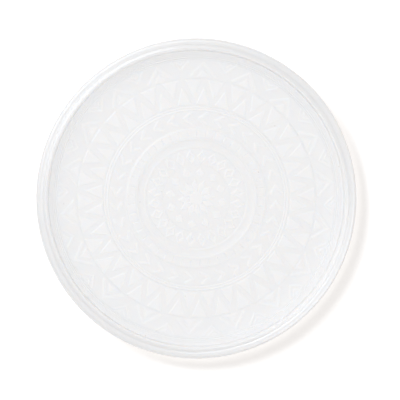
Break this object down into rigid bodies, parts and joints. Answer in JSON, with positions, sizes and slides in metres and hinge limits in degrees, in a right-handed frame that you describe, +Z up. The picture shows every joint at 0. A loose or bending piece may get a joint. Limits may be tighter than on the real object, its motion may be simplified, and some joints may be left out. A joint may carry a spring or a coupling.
{
  "type": "resin casting mould",
  "caption": "Shallow round one-piece silicone mould for casting a coaster, with a low upright wall, a beaded rim and concentric bands of fine raised pattern on the floor.",
  "frame": {"origin": "centre of the flat underside, where the mould rests on the table", "axes": "+Z up out of the open cavity, along the axis of the mould; +X to the right and +Y away from a viewer who looks down at the mould"},
  "size_m": [0.108, 0.108, 0.0088],
  "materials": {
    "silicone": "satin translucent white silicone rubber"
  },
  "bodies": {
    "root": {"base_web": "silicone", "side_wall": "silicone", "rim": "silicone", "vee_band": "silicone", "triangle_band": "silicone", "bead_rings": "silicone", "chevron_band": "silicone", "tick_band": "silicone", "crest_ring": "silicone", "diamond_band": "silicone", "centre_rosette": "silicone"}
  },
  "joints": []
}
